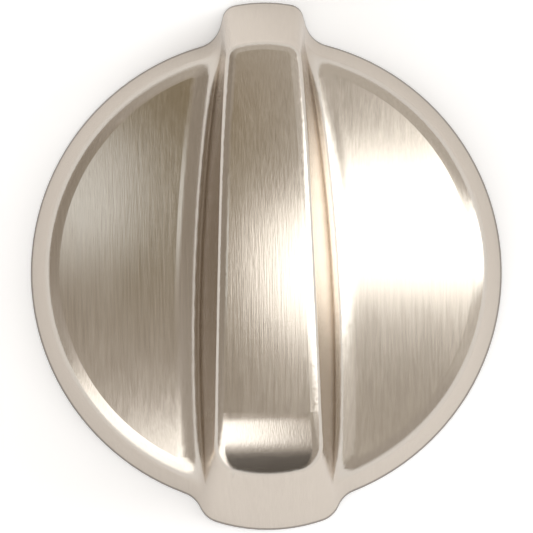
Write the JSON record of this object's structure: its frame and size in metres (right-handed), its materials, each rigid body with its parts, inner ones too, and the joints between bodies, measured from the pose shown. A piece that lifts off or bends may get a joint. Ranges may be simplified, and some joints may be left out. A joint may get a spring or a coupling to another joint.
{
  "type": "stove knob",
  "caption": "Round stove control knob with a raised tapered grip bar, drawn in brushed steel over a dark moulded core with a sprung shaft socket.",
  "frame": {"origin": "on the shaft axis, at the mouth of the hub, in the plane of the rear rim", "axes": "+Z along the shaft axis out of the front face, +Y to the narrow pointer end of the grip bar, +X to the right seen from the front"},
  "size_m": [0.0496, 0.0556, 0.022],
  "materials": {
    "steel": "brushed along the grip bar",
    "core_plastic": "moulded, matt",
    "spring_steel": "rolled strip"
  },
  "bodies": {
    "root": {"steel_shell": "steel", "core": "core_plastic", "shaft_clip": "spring_steel"}
  },
  "joints": []
}
